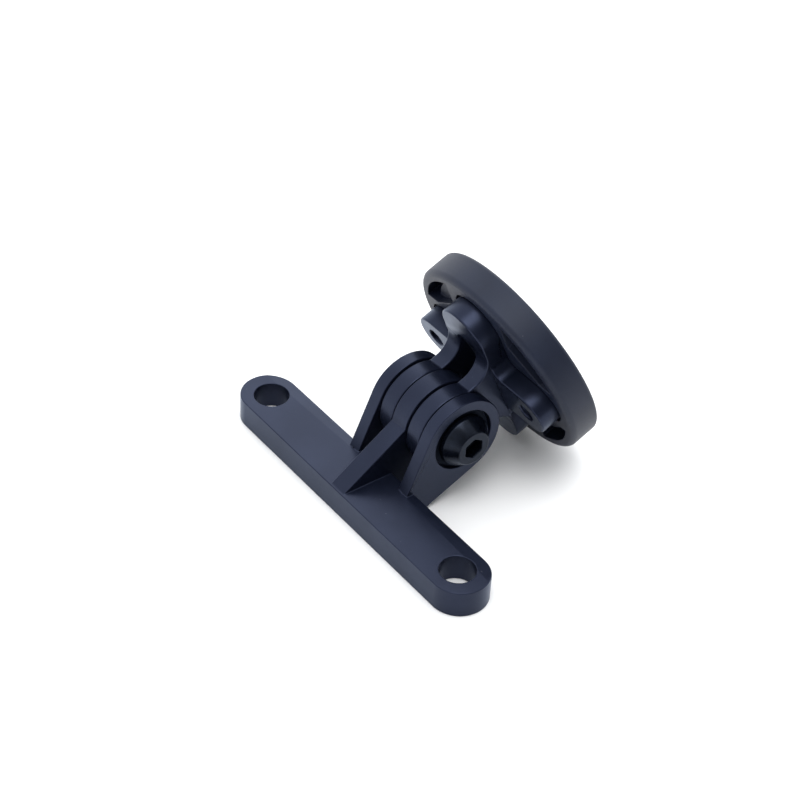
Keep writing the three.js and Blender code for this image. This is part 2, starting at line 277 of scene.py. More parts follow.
def put(piece, place, body, node, material, crisp=None):
    """The finished piece goes to its place, rides on its body and stands for its CAD node.

    Edges whose ends are both crisp are drawn sharp, however little they turn.
    """
    seal(piece)
    piece.data.polygons.foreach_set("use_smooth", [True] * len(piece.data.polygons))
    piece.data.set_sharp_from_angle(angle=SHARP_FROM)
    if crisp:
        bm = bmesh.new()
        bm.from_mesh(piece.data)
        for edge in bm.edges:
            if all(crisp(v.co) for v in edge.verts):
                edge.smooth = False
        bm.to_mesh(piece.data)
        bm.free()
    piece.data.transform(place)
    piece.data.materials.clear()
    piece.data.materials.append(material)
    shading = piece.modifiers.new("even shading", "WEIGHTED_NORMAL")
    shading.keep_sharp = True
    shading.weight = FACE_WEIGHT
    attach(piece, body)
    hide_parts(node)
    print(piece.name, len(piece.data.polygons), "faces")
    return piece


# %% [markdown]
# ## Shader expressions
# A finish is a small formula: a base colour, a little noise, and paler edges that stand for
# wear and, on the metals, for a painted highlight. Its nodes could be placed and linked one by
# one, but then the formula is hard to read back. The class below wraps a socket, so that sums
# are written as plain arithmetic.

# %% Sums on sockets
class Value:
    """One socket's value, for sums written in Python."""

    def __init__(self, finish, socket):
        self.finish = finish
        self.socket = socket

    def math(self, operation, first, second):
        """A Math node on two values."""
        return self.finish.node("ShaderNodeMath", {"operation": operation}, {0: first, 1: second})

    def __add__(self, other):
        return self.math("ADD", self, other)

    def __sub__(self, other):
        return self.math("SUBTRACT", self, other)

    def __rsub__(self, other):
        return self.math("SUBTRACT", other, self)

    def __mul__(self, other):
        return self.math("MULTIPLY", self, other)

    __radd__ = __add__
    __rmul__ = __mul__

    def between(self, low, high):
        """0 below low, 1 above high, and smooth in the middle."""
        settings = {"interpolation_type": "SMOOTHSTEP"}
        return self.finish.node("ShaderNodeMapRange", settings,
                                {"Value": self, "From Min": low, "From Max": high})


# %% [markdown]
# ## What finishes are made of
# The finishes share a few ingredients: soft noise at several sizes, a mask for edges that
# carries wear and, on the metals, a painted highlight, some dust and a fine bump. One method
# adds any node from its type, its settings and what its sockets take, and each ingredient is a
# short method on top of it. Patterns are centred on the hinge in the piece's own coordinates, so
# they stay put on a piece that moves.

# %% Materials and their ingredients
EDGE_SAMPLES = 6
DUST_FADE = 0.04


class Finish:
    """A material and its Principled shader."""

    def __init__(self, name):
        self.material = bpy.data.materials.new(name)
        self.material.use_nodes = True
        self.tree = self.material.node_tree
        self.shader = self.tree.nodes["Principled BSDF"]

    def node(self, kind, settings=None, inputs=None, output=0):
        """Adds a node, and gives back the value at one of its outputs."""
        made = self.tree.nodes.new(kind)
        for key, setting in (settings or {}).items():
            setattr(made, key, setting)
        for key, value in (inputs or {}).items():
            self.plug(made.inputs[key], value)
        return Value(self, made.outputs[output])

    def plug(self, socket, value):
        """Links a value to a socket, or sets a plain number or colour on it."""
        if isinstance(value, Value):
            self.tree.links.new(value.socket, socket)
        else:
            socket.default_value = value

    def set(self, **sockets):
        """Feeds the shader's own sockets, by name."""
        for name, value in sockets.items():
            self.plug(self.shader.inputs[name.replace("_", " ")], value)

    def place(self):
        """Object coordinates centred on the hinge."""
        spot = self.node("ShaderNodeTexCoord", output="Object")
        return self.node("ShaderNodeMapping", {}, {0: spot, "Location": [-side * MM for side in HINGE]})

    def noise(self, size_mm, detail, roughness=0.5):
        """Soft random patches about size_mm across."""
        return self.node("ShaderNodeTexNoise", {}, {
            "Vector": self.place(), "Scale": 1 / (size_mm * MM),
            "Detail": detail, "Roughness": roughness})

    def blend(self, share, first, second):
        """A colour between two others."""
        inputs = {0: share, 6: first, 7: second}
        return self.node("ShaderNodeMix", {"data_type": "RGBA"}, inputs, output=2)

    def dust(self, size_mm, share):
        """1 on a few small specks, and 0 between them."""
        return self.noise(size_mm, detail=1).between(share, share + DUST_FADE)

    def edges(self, radius_mm):
        """How far the surface turns within a small radius: high on edges and corners."""
        rounded = self.node("ShaderNodeBevel", {"samples": EDGE_SAMPLES}, {"Radius": radius_mm * MM})
        facing = self.node("ShaderNodeNewGeometry", output="Normal")
        alike = self.node("ShaderNodeVectorMath", {"operation": "DOT_PRODUCT"},
                          {0: rounded, 1: facing}, output="Value")
        return 1.0 - alike

    def bump(self, height, strength, depth_mm):
        """A normal tilted by a height."""
        return self.node("ShaderNodeBump", {}, {
            "Height": height, "Strength": strength, "Distance": depth_mm * MM})


# %% [markdown]
# ## Satin black anodised metal
# The bar and the head are aluminium, blasted with fine beads and anodised black. The dye layer
# is clear and hard over a dark metal, so the piece looks blue-black where it faces the light.
# Its edges are painted paler, partly as wear where handling has polished them and partly as a
# painted highlight along each edge. An image would have to be unwrapped onto every piece, so
# the finish is noise at three sizes: slow patches in the dye, a haze a millimetre or two across,
# and the beads' own grain.

# %% Satin black
DYE_DEEP = (0.0105, 0.0140, 0.031, 1)
DYE_PALE = (0.0145, 0.0190, 0.0395, 1)
WORN_DYE_AND_SHEEN = (0.08, 0.09, 0.12, 1)
DUST_ON_METAL = (0.16, 0.17, 0.2, 1)
COOL_TINT = (0.8, 0.87, 1, 1)


def satin_black():
    """Dye over blasted metal, with paler edges for wear and a painted highlight."""
    finish = Finish("satin_black_metal")
    patches = finish.noise(size_mm=9, detail=3)
    haze = finish.noise(size_mm=1.6, detail=4)
    grain = finish.noise(size_mm=0.12, detail=2)
    wear_and_sheen = (finish.edges(radius_mm=0.35) * 2.4 * haze).between(0.12, 0.9)
    dust = finish.dust(size_mm=0.5, share=0.79)
    dye = finish.blend(patches.between(0.3, 0.7), DYE_DEEP, DYE_PALE)
    # Paler edges: partly real wear, partly a painted highlight along each edge.
    colour = finish.blend(wear_and_sheen * 0.45, dye, WORN_DYE_AND_SHEEN)
    colour = finish.blend(dust * 0.25, colour, DUST_ON_METAL)
    finish.set(Base_Color=colour, Metallic=0.65,
               Roughness=0.25 + 0.1 * haze + 0.05 * grain - 0.06 * wear_and_sheen,
               Normal=finish.bump(grain + 0.6 * haze, strength=0.18, depth_mm=0.02),
               Specular_Tint=COOL_TINT)
    return finish.material


SATIN_BLACK = satin_black()
print("made", SATIN_BLACK.name)

# %% [markdown]
# ## Oiled black steel
# Screws and nuts are steel with a thin black oxide, kept from rusting by oil. It is darker and
# glossier than the anodised pieces. Round the socket and the rim the colour is paler, partly
# where the oxide rubs off first and partly as a painted highlight, such as the head's bright ring.
# A stamped washer shines less than a turned screw, so one recipe makes both, with the gloss
# turned down for the washer.

# %% Black steel
OXIDE_DEEP = (0.003, 0.0045, 0.009, 1)
OXIDE_PALE = (0.006, 0.0085, 0.016, 1)
RUBBED_STEEL_AND_SHEEN = (0.11, 0.115, 0.13, 1)


def black_steel(name, gloss):
    """Oxide over steel, from dry at a gloss of 0 to well oiled at 1."""
    finish = Finish(name)
    cloud = finish.noise(size_mm=1.1, detail=4)
    grain = finish.noise(size_mm=0.09, detail=2)
    wear_and_sheen = (finish.edges(radius_mm=0.25) * 3.0 * cloud).between(0.15, 1.0)
    oxide = finish.blend(cloud.between(0.3, 0.7), OXIDE_DEEP, OXIDE_PALE)
    # Paler edges: partly rubbed oxide, partly a painted highlight on the socket and the rim.
    finish.set(Base_Color=finish.blend(wear_and_sheen * 0.4, oxide, RUBBED_STEEL_AND_SHEEN), Metallic=0.7,
               Roughness=0.7 - 0.52 * gloss + 0.1 * cloud + 0.04 * grain,
               Normal=finish.bump(grain + 0.5 * cloud, strength=0.15, depth_mm=0.015),
               Specular_IOR_Level=0.5 * gloss, Specular_Tint=COOL_TINT)
    return finish.material


BLACK_STEEL = black_steel("black_oxide_steel", gloss=1.0)
DULL_STEEL = black_steel("dull_black_steel", gloss=0.2)
print("made", BLACK_STEEL.name, "and", DULL_STEEL.name)

# %% [markdown]
# ## Matte black plastic
# The disc is moulded from glass-filled nylon in an etched mould. Its skin is a fine even grain
# that scatters light, so it has no sharp reflections, and its edges are a shade greyer where
# the skin is rubbed. The grain is a bump and not real relief, because it is far finer than the
# disc's faces, and a slow cloud keeps the large plain faces from looking painted.

# %% Matte plastic
SKIN_DEEP = (0.0025, 0.0045, 0.014, 1)
SKIN_PALE = (0.0045, 0.0075, 0.02, 1)
RUBBED_SKIN = (0.06, 0.065, 0.085, 1)
DUST_ON_PLASTIC = (0.2, 0.21, 0.25, 1)
PLASTIC_TINT = (0.78, 0.84, 1, 1)


def matte_plastic():
    """The skin of a moulding, with an etched grain."""
    finish = Finish("matte_black_plastic")
    cloud = finish.noise(size_mm=6, detail=3)
    etch = finish.noise(size_mm=0.16, detail=3, roughness=0.6)
    pores = finish.noise(size_mm=0.45, detail=2)
    rubbed = (finish.edges(radius_mm=0.3) * 2.0 * pores).between(0.1, 0.9)
    dust = finish.dust(size_mm=0.6, share=0.78)
    skin = finish.blend(cloud.between(0.3, 0.7), SKIN_DEEP, SKIN_PALE)
    skin = finish.blend(rubbed * 0.5, skin, RUBBED_SKIN)
    finish.set(Base_Color=finish.blend(dust * 0.25, skin, DUST_ON_PLASTIC),
               Roughness=0.42 + 0.14 * etch + 0.06 * cloud,
               Normal=finish.bump(etch + 0.4 * pores, strength=0.3, depth_mm=0.03),
               Specular_IOR_Level=0.4, Specular_Tint=PLASTIC_TINT)
    return finish.material


MATTE_PLASTIC = matte_plastic()
print("made", MATTE_PLASTIC.name)

# %% [markdown]
# ## The bar and its three ears
# The base is milled from one block: a flat bar with round ends, and behind it three ears on the
# hinge axis. The bar is drawn from above and the ears from the side. The middle ear runs
# forward over the bar as a rib, which stiffens the thin foot of the hinge.

# %% Bar sizes
bar_low, bar_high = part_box("base_bracket")
BAR_LENGTH = (bar_high.x - bar_low.x) / MM
BAR_FRONT = bar_low.y / MM
BAR_WIDTH = -2 * BAR_FRONT
BAR_THICKNESS = 4.5
BOLT_HOLE_INSET = 5.1
BOLT_HOLE_RADIUS = 2.75
EAR_RADIUS = 6.85
MIDDLE_EAR = (-1.6, 1.6)
RIGHT_EAR = (5.0, 7.2)
LEFT_EAR = (-7.2, -5.0)
EAR_FOOT = BAR_WIDTH / 2 - 1.4
EAR_HEEL = BAR_WIDTH / 2 + 1.6
RIB_TOE = BAR_FRONT + 0.4
RIB_PASS = 4.6
PIVOT_HOLE_RADIUS = 2.75
COUNTERBORE_RADIUS = 5.15
COUNTERBORE_DEPTH = 1.1
NUT_POCKET_ACROSS = 8.1
NUT_POCKET_DEPTH = 1.0
BAR_EDGE = 0.15
PAST = 1.0
print("bar", round(BAR_LENGTH, 2), "x", round(BAR_WIDTH, 2), "mm")


# %% Bar and ear outlines
def bar_outline():
    """The bar from above: two straight sides and two round ends."""
    half = BAR_WIDTH / 2
    end = BAR_LENGTH / 2 - half
    return Pen(-end, -half).line(end, -half).arc(end, 0, 180).line(-end, half).arc(-end, 0, 180)


def tangent(y, z, side):
    """The direction, in degrees, of the line from a point that just touches the ear's round."""
    away = Vector((HINGE.y - y, HINGE.z - z))
    swing = side * math.asin(EAR_RADIUS / away.length)
    return math.degrees(math.atan2(away.y, away.x) + swing)


def on_round(degrees):
    """A point on the ear's round."""
    angle = math.radians(degrees)
    return HINGE.y + EAR_RADIUS * math.cos(angle), HINGE.z + EAR_RADIUS * math.sin(angle)


def round_to_heel(pen, start):
    """Takes the pen clockwise over the ear's round and down its underside to the heel."""
    end = tangent(EAR_HEEL, 0, -1) - 90
    pen.line(*on_round(start)).arc(HINGE.y, HINGE.z, end - start)
    return pen.line(EAR_HEEL, 0)


def outer_ear():
    """An outer ear from the side, standing on the back of the bar."""
    pen = Pen(EAR_FOOT, 0).line(EAR_FOOT, BAR_THICKNESS)
    return round_to_heel(pen, tangent(EAR_FOOT, BAR_THICKNESS, 1) + 90)


def middle_ear():
    """The rib's top edge passes just above the hinge axis and runs into the ear's round."""
    away = Vector((HINGE.y - RIB_TOE, HINGE.z - BAR_THICKNESS))
    slope = math.atan2(away.y, away.x) + math.asin(RIB_PASS / away.length)
    meets = 180 + math.degrees(slope) - math.degrees(math.asin(RIB_PASS / EAR_RADIUS))
    pen = Pen(RIB_TOE, BAR_THICKNESS / 2).line(RIB_TOE, BAR_THICKNESS)
    return round_to_heel(pen, meets)


print("ears of radius", EAR_RADIUS, "mm, with faces at", LEFT_EAR, MIDDLE_EAR, RIGHT_EAR)

# %% [markdown]
# ## The relief along the bar's back edge
# Beside the outer ears the bar's top falls away slightly towards the back, as if the cutter that
# cleared the hinge had been tipped. An edge of the bar could be split and pulled down by hand.
# A tipped cutter needs only its slope and its skew, and one is made for each side. The line
# where the slope starts is too faint for shading by angle, so it is marked crisp.

# %% Relief cutters
RELIEF_START = (RIGHT_EAR[1], 2.85)
RELIEF_SKEW = math.radians(2.1)
RELIEF_SLOPE = math.radians(6)
END_SLACK = 0.1
LINE_SLACK = 0.05
TOP_SLACK = 0.01


def relief(side):
    """A cutter that tips the bar's top slightly down towards its back edge, beside an ear."""
    side_x, edge = RELIEF_START
    drop = BAR_WIDTH * math.tan(RELIEF_SLOPE)
    pen = Pen(edge, BAR_THICKNESS).line(edge + BAR_WIDTH, BAR_THICKNESS - drop)
    pen.line(edge + BAR_WIDTH, BAR_THICKNESS + PAST).line(edge - PAST, BAR_THICKNESS + PAST)
    tool = pen.plate("cutter", "X", side_x - PAST, BAR_LENGTH / 2 + PAST)
    about = Matrix.Translation((side_x, edge, 0))
    tool.data.transform(about @ Matrix.Rotation(-RELIEF_SKEW, 4, "Z") @ about.inverted())
    if side < 0:
        tool.data.transform(Matrix.Diagonal((-1, 1, 1, 1)))
        tool.data.flip_normals()
    return tool


def on_relief_line(point):
    """True on the line where the relief leaves the bar's flat top."""
    side_x, edge = RELIEF_START
    line_y = edge - (abs(point.x) - side_x) * math.tan(RELIEF_SKEW)
    beside_ear = abs(point.x) > side_x - END_SLACK
    return (beside_ear and abs(point.y - line_y) < LINE_SLACK
            and abs(point.z - BAR_THICKNESS) < TOP_SLACK)


print("relief of", round(math.degrees(RELIEF_SLOPE)), "degrees, from y =", RELIEF_START[1], "mm")

# %% [markdown]
# ## Machining the base
# The bar is relieved while it is still a plain plate, because a cutter that meets an ear's face
# leaves broken shading there. Then the ears are joined on, and the holes come last. The bore
# through the ears, its counterbore and the nut's pocket share one axis, so they line up as they
# would from one setting of the machine. Each tool runs past the stock, because a tool that ends
# level with a face can leave a skin over the hole.

# %% Make the base
def make_base():
    """Mills the bar with its ears, and puts it in place."""
    base = bar_outline().plate("bar_with_ears", "Z", 0, BAR_THICKNESS)
    cut(base, relief(1), relief(-1))
    join(base, outer_ear().plate("ear", "X", *RIGHT_EAR), outer_ear().plate("ear", "X", *LEFT_EAR),
         middle_ear().plate("ear", "X", *MIDDLE_EAR))
    hole_x = BAR_LENGTH / 2 - BOLT_HOLE_INSET
    for x in (-hole_x, hole_x):
        cut(base, disc(x, 0, BOLT_HOLE_RADIUS).plate("drill", "Z", -PAST, BAR_THICKNESS + PAST))
    right = RIGHT_EAR[1]
    cut(base,
        disc(HINGE.y, HINGE.z, PIVOT_HOLE_RADIUS).plate("reamer", "X", -right - PAST, right + PAST),
        disc(HINGE.y, HINGE.z, COUNTERBORE_RADIUS).plate(
            "counterbore", "X", right - COUNTERBORE_DEPTH, right + PAST),
        hexagon(HINGE.y, HINGE.z, NUT_POCKET_ACROSS).plate(
            "broach", "X", -right - PAST, -right + NUT_POCKET_DEPTH))
    break_edges(base, BAR_EDGE)
    return put(base, BAR_PLACE, "base", "base_bracket", SATIN_BLACK,
               crisp=on_relief_line)


make_base()

# %% [markdown]
# ## The clamping screw, its washer and its nut
# One screw squeezes the stack of ears and fingers, with a washer under its head. The nut sits in
# a hexagonal pocket so that it can't turn while the screw is tightened. A turned piece could be
# a cylinder with scaled loops, but a profile spun about an axis shows every radius and length
# at once. The hexagonal socket is broached into the head afterwards.

# %% Screw sizes
SCREW_RADIUS = 2.45
SCREW_END = -9.55
SEAT = 6.7
HEAD_RADIUS = 4.25
HEAD_RIM = 7.65
HEAD_TIP = 9.7
HEAD_TIP_RADIUS = 2.8
SOCKET_ACROSS = 3.0
SOCKET_DEPTH = 2.0
SCREW_END_CHAMFER = 0.45
SCREW_HEAD_CHAMFER = 0.12
SCREW_EDGE = 0.16
WASHER = (6.15, 6.65)
WASHER_RADIUS = 4.9
WASHER_EDGE = 0.08
NUT = (-8.95, -6.25)
NUT_ACROSS = 8.0
NUT_CHAMFER = 0.55
NUT_CROWN = 0.1
NUT_EDGE = 0.1
TAP_CLEARANCE = 0.1
ON_AXIS_X = Matrix.Translation((0, HINGE.y, HINGE.z)) @ Matrix.Rotation(-math.pi / 2, 4, "Z")
print("screw", 2 * SCREW_RADIUS, "mm thick, from", SCREW_END, "to", HEAD_TIP, "mm")


def screw_profile():
    """Radius and station, from the screw's chamfered end up over its conical head."""
    shoulder = HEAD_RADIUS - SCREW_HEAD_CHAMFER
    pen = Pen(0, SCREW_END).line(SCREW_RADIUS - SCREW_END_CHAMFER, SCREW_END)
    pen.line(SCREW_RADIUS, SCREW_END + SCREW_END_CHAMFER).line(SCREW_RADIUS, SEAT)
    pen.line(shoulder, SEAT).line(HEAD_RADIUS, SEAT + SCREW_HEAD_CHAMFER)
    pen.line(HEAD_RADIUS, HEAD_RIM).line(HEAD_TIP_RADIUS, HEAD_TIP)
    return pen.line(0, HEAD_TIP)


# %% Make the screw
def make_screw():
    """Turns the screw and broaches its socket."""
    screw = screw_profile().lathe("clamping_screw")
    screw.data.transform(ON_AXIS_X)
    cut(screw, hexagon(HINGE.y, HINGE.z, SOCKET_ACROSS).plate(
        "broach", "X", HEAD_TIP - SOCKET_DEPTH, HEAD_TIP + PAST))
    break_edges(screw, SCREW_EDGE)
    return put(screw, BAR_PLACE, "clamp_bolt", "hinge_bolt", BLACK_STEEL)


make_screw()

# %% [markdown]
# ## The washer and the nut
# The washer spreads the screw's load over the bottom of the counterbore. It is a rectangle spun
# round the axis. A nut is a hexagonal plate with its corners turned off on one side. Bevelling
# the corners would give straight facets, so the plate is crossed with a turned blank instead:
# what the two share has the curved chamfer of a real nut.

# %% Make the washer and the nut
def make_washer():
    """A ring, from the inner to the outer station along the axis."""
    inner, outer = WASHER
    pen = Pen(PIVOT_HOLE_RADIUS, inner).line(WASHER_RADIUS, inner).line(WASHER_RADIUS, outer)
    washer = pen.line(PIVOT_HOLE_RADIUS, outer).close().lathe("plain_washer")
    washer.data.transform(ON_AXIS_X)
    break_edges(washer, WASHER_EDGE)
    return put(washer, BAR_PLACE, "base", "hinge_washer", DULL_STEEL)


def make_nut():
    """A hexagonal plate with its outer corners turned off, and a hole for the screw."""
    start, end = NUT
    nut = hexagon(HINGE.y, HINGE.z, NUT_ACROSS).plate("thin_nut", "X", start, end)
    crown = NUT_ACROSS / 2 - NUT_CROWN
    rim = NUT_ACROSS / 2 / math.cos(math.pi / 6) + NUT_CROWN
    pen = Pen(0, start).line(crown, start).line(rim, start + NUT_CHAMFER)
    blank = pen.line(rim, end).line(0, end).lathe("turned blank")
    blank.data.transform(ON_AXIS_X)
    boolean(nut, "INTERSECT", [blank])
    hole = disc(HINGE.y, HINGE.z, SCREW_RADIUS + TAP_CLEARANCE)
    cut(nut, hole.plate("tap", "X", start - PAST, end + PAST))
    break_edges(nut, NUT_EDGE)
    return put(nut, BAR_PLACE, "base", "hinge_nut", BLACK_STEEL)


make_washer()
make_nut()

# %% [markdown]
# ## The forked head
# The head is milled from one block too. Two fingers reach forward between the ears, and behind
# them a cross-shaped flange spreads over the disc: one round-ended tongue up, one down, and a
# lobe to each side with a threaded hole. A wide slitting cutter clears room for the middle ear
# and leaves a long shallow valley in the flange. The cross is drawn along the disc's axis and
# the fingers along the hinge's, because seen that way all their curves are arcs.

# %% Head sizes
FINGERS = ((-4.75, -1.85), (1.85, 4.75))
FINGER_RADIUS = 6.7
NECK = 4.8
NECK_FILLET = 3.4
FLANGE = (9.3, 12.75)
TONGUE = FINGERS[1][1]
TONGUE_REACH = 14.8
LOBE = 3.8
LOBE_X = 10.85
ARM_FILLET = 2.0
CUTTER_RADIUS = 29.0
CUTTER_DEPTH = 1.6
THREAD_HOLE = 1.5
FORKED_HEAD_EDGE = 0.3
print("fingers between the ears at", FINGERS, "mm")


# %% Head outlines
def cross_outline(margin):
    """The flange's cross, grown outwards by a margin."""
    tongue = TONGUE + margin
    lobe = LOBE + margin
    fillet = ARM_FILLET - min(margin, ARM_FILLET / 2)
    top = TONGUE_REACH - TONGUE
    corner = tongue + fillet
    rise = lobe + fillet
    pen = Pen(LOBE_X, -lobe).arc(LOBE_X, 0, 180)
    pen.line(corner, lobe).arc(corner, rise, -90).line(tongue, top).arc(0, top, 180)
    pen.line(-tongue, rise).arc(-corner, rise, -90).line(-LOBE_X, lobe).arc(-LOBE_X, 0, 180)
    pen.line(-corner, -lobe).arc(-corner, -rise, -90).line(-tongue, -top).arc(0, -top, 180)
    return pen.line(tongue, -rise).arc(corner, -rise, -90)


def finger_outline():
    """A finger from the side: round at the hinge, and flared where it meets the flange."""
    flare = NECK + NECK_FILLET
    face = FLANGE[0]
    root = (FLANGE[0] + FLANGE[1]) / 2
    neck = math.degrees(math.asin(NECK / FINGER_RADIUS))
    pen = Pen(root, -flare).line(face, -flare).arc(face - NECK_FILLET, -flare, 90)
    pen.line(FINGER_RADIUS * math.cos(math.radians(neck)), -NECK).arc(0, 0, 2 * neck - 360)
    pen.line(face - NECK_FILLET, NECK).arc(face - NECK_FILLET, flare, 90)
    return pen.line(root, flare)


# %% [markdown]
# ## The thread in the lobes
# The holes in the lobes are tapped, and light catches the first turns of the thread. A bump
# would leave the hole's wall a plain tube, so the thread is real: a small triangle is spun
# round the hole while it climbs, and the ridge that it sweeps is joined to the wall.

# %% The thread inside a lobe
THREAD_PITCH = 0.5
THREAD_TOP = 1.3
THREAD_ROOT = THREAD_HOLE + 0.1
RIDGE_SHARE = 0.42
THREAD_START = FLANGE[0] + 0.45
THREAD_TURNS = 5
TURN_STEPS = 32


def thread_ridge(x):
    """A triangular ridge that climbs round the hole's wall."""
    bm = bmesh.new()
    half = THREAD_PITCH * RIDGE_SHARE
    corners = [bm.verts.new((x + radius, THREAD_START + climb, 0))
               for radius, climb in ((THREAD_ROOT, -half), (THREAD_TOP, 0), (THREAD_ROOT, half))]
    face = bm.faces.new(corners)
    bmesh.ops.spin(bm, geom=[face], cent=(x, 0, 0), axis=(0, 1, 0),
                   dvec=(0, THREAD_PITCH / TURN_STEPS, 0), use_duplicate=False,
                   angle=2 * math.pi * THREAD_TURNS, steps=TURN_STEPS * THREAD_TURNS)
    print("thread of", len(bm.faces), "faces")
    return solid("thread", bm)


# %% [markdown]
# ## Machining the head
# The fingers are joined to the flange, and then the slitting cutter, a large thin disc, passes
# between them, so the valley's floor is an arc. The thread goes in after the edges are rounded,
# because a round as wide as the head's would swallow the ridge.

# %% Make the head
def make_head():
    """Mills the fork and its flange, and cuts the thread in both lobes."""
    head = cross_outline(0).plate("forked_head", "Y", *FLANGE)
    for inner, outer in FINGERS:
        join(head, finger_outline().plate("finger", "X", inner, outer))
    slot, side = FINGERS[1]
    reach = side + PAST
    cut(head,
        disc(FLANGE[0] + CUTTER_DEPTH - CUTTER_RADIUS, 0, CUTTER_RADIUS).plate(
            "slitting cutter", "X", -slot, slot),
        disc(0, 0, PIVOT_HOLE_RADIUS).plate("reamer", "X", -reach, reach),
        *[disc(x, 0, THREAD_HOLE).plate("drill", "Y", FLANGE[0] - PAST, FLANGE[1] + PAST)
          for x in (-LOBE_X, LOBE_X)])
    break_edges(head, FORKED_HEAD_EDGE)
    for x in (-LOBE_X, LOBE_X):
        join(head, thread_ridge(x))
    return put(head, HEAD_PLACE, "head", "head_bracket", SATIN_BLACK)


make_head()

# %% [markdown]
# ## The disc
# The receiver is a moulded disc. Its outer shape is a profile spun about its axis. The rear
# face has a shallow seat that the flange's cross drops into, and four pockets that keep the
# wall even so that it doesn't sink as it cools. The front has a round well with a lip and two
# entry notches: a fitting's lugs go in through the notches and turn under the lip.

# %% Disc sizes
DISC_RADIUS = 17.15
REAR = 12.45
FRONT = 17.65
REAR_ROUND = 1.0
FRONT_ROUND = 0.6
SEAT_DEPTH = 0.6
SEAT_MARGIN = 0.3
POCKET_RADIUS = DISC_RADIUS - 1.75
LAND_HEIGHT = 4.7
LAND_WIDTH = 6.4
POCKET_LOBE_END = 2.47
POCKET_TONGUE_END = 4.9
POCKET_FLOOR = 13.85
RIM_POCKET_FLOOR = 15.85
WELL_FLOOR = 14.85
LIP = 1.2
LUG_RADIUS = 13.6
WELL_RADIUS = 10.3
LUG_WALL = 0.5
NOTCH_HALF = math.radians(28)
DISC_STEPS = 180
DISC_EDGE = 0.12


def disc_profile():
    """Radius and station of the disc's outer shape, from its rear to its front."""
    pen = Pen(0, REAR).line(DISC_RADIUS - REAR_ROUND, REAR)
    pen.arc(DISC_RADIUS - REAR_ROUND, REAR + REAR_ROUND, 90)
    pen.line(DISC_RADIUS, FRONT - FRONT_ROUND).arc(DISC_RADIUS - FRONT_ROUND, FRONT - FRONT_ROUND, 90)
    return pen.line(0, FRONT)


print("disc", 2 * DISC_RADIUS, "mm across and", round(FRONT - REAR, 2), "mm deep")


# %% [markdown]
# ## Pockets and entry notches
# The four pockets are one shape in four quarters, so one is drawn and mirrored into the others.
# Each is shallow over the well and deep beside the rim wall. The notches could have arcs of
# their own, but two arcs that nearly match leave slivers between them. Each notch is a wedge of
# the groove's own disc instead, and so the two share one wall.

# %% Tools for the pockets and the notches
def pocket_outline():
    """The pocket of the upper right quarter, out to the rim wall."""
    low = math.asin(LAND_HEIGHT / POCKET_RADIUS)
    high = math.acos(LAND_WIDTH / POCKET_RADIUS)
    start = (POCKET_RADIUS * math.cos(low), LAND_HEIGHT)
    pen = Pen(*start).arc(0, 0, math.degrees(high - low))
    pen.line(LAND_WIDTH, POCKET_RADIUS * math.sin(high) - POCKET_TONGUE_END)
    return pen.line(start[0] - POCKET_LOBE_END, LAND_HEIGHT)


def pockets():
    """Four pockets, shallow over the well and deep beside the rim wall."""
    made = []
    for quarter in range(4):
        shallow = pocket_outline().plate("pocket", "Y", REAR - PAST, POCKET_FLOOR)
        deep = pocket_outline().plate("pocket", "Y", REAR - PAST, RIM_POCKET_FLOOR)
        cut(deep, disc(0, 0, LUG_RADIUS + LUG_WALL).plate("core", "Y", REAR - 2 * PAST, FRONT))
        join(shallow, deep)
        flip = Matrix.Diagonal((-1 if quarter in (1, 2) else 1, 1, -1 if quarter > 1 else 1, 1))
        bm = bmesh.new()
        bm.from_mesh(shallow.data)
        bmesh.ops.transform(bm, matrix=flip, verts=bm.verts)
        bmesh.ops.recalc_face_normals(bm, faces=bm.faces)
        bm.to_mesh(shallow.data)
        bm.free()
        made.append(shallow)
    return made


def notch(side):
    """A wedge of the lug groove's own disc, so that the two share one wall."""
    tool = disc(0, 0, LUG_RADIUS).plate("notch", "Y", WELL_FLOOR, FRONT + PAST)
    far = side * 2 * LUG_RADIUS
    rise = abs(far) * math.tan(NOTCH_HALF)
    pen = Pen(0, 0).line(far, -side * rise).line(far, side * rise)
    wedge = pen.plate("wedge", "Y", WELL_FLOOR - PAST, FRONT + 2 * PAST)
    return boolean(tool, "INTERSECT", [wedge])


print("pocket floors at", POCKET_FLOOR, "and", RIM_POCKET_FLOOR, "mm, well floor at", WELL_FLOOR, "mm")


# %% [markdown]
# ## Seats for the small screws
# Each small screw needs a hole through the disc and a cone for its head. Both are cut by one
# turned drill, drawn from the screw's own sizes and a margin, so that the seat still fits if the
# screw is changed.

# %% Screw heads and their seats
SMALL_HEAD_SINK = 0.1
SMALL_HEAD_TOP = WELL_FLOOR - SMALL_HEAD_SINK
SMALL_HEAD = 2.35
SMALL_HEAD_HEIGHT = 1.25
SMALL_SHANK = 1.25
SMALL_END = FLANGE[0] + 1.4
SMALL_SOCKET_ACROSS = 2.0
SMALL_SOCKET_DEPTH = 0.9
SMALL_END_CHAMFER = 0.3
SMALL_HEAD_RIM = 0.12
SMALL_EDGE = 0.07
SMALL_STEPS = 72
SEAT_CLEARANCE = 0.08


def countersink(side):
    """The tool that opens a screw's hole and the seat for its head."""
    hole = SMALL_SHANK + SEAT_CLEARANCE
    cone = SMALL_HEAD + SEAT_CLEARANCE
    pen = Pen(0, REAR - PAST).line(hole, REAR - PAST).line(hole, SMALL_HEAD_TOP - SMALL_HEAD_HEIGHT)
    pen.line(cone, SMALL_HEAD_TOP).line(cone, SMALL_HEAD_TOP + PAST).line(0, SMALL_HEAD_TOP + PAST)
    tool = pen.lathe("drill", SMALL_STEPS)
    tool.data.transform(Matrix.Translation((side * LOBE_X, 0, 0)))
    return tool


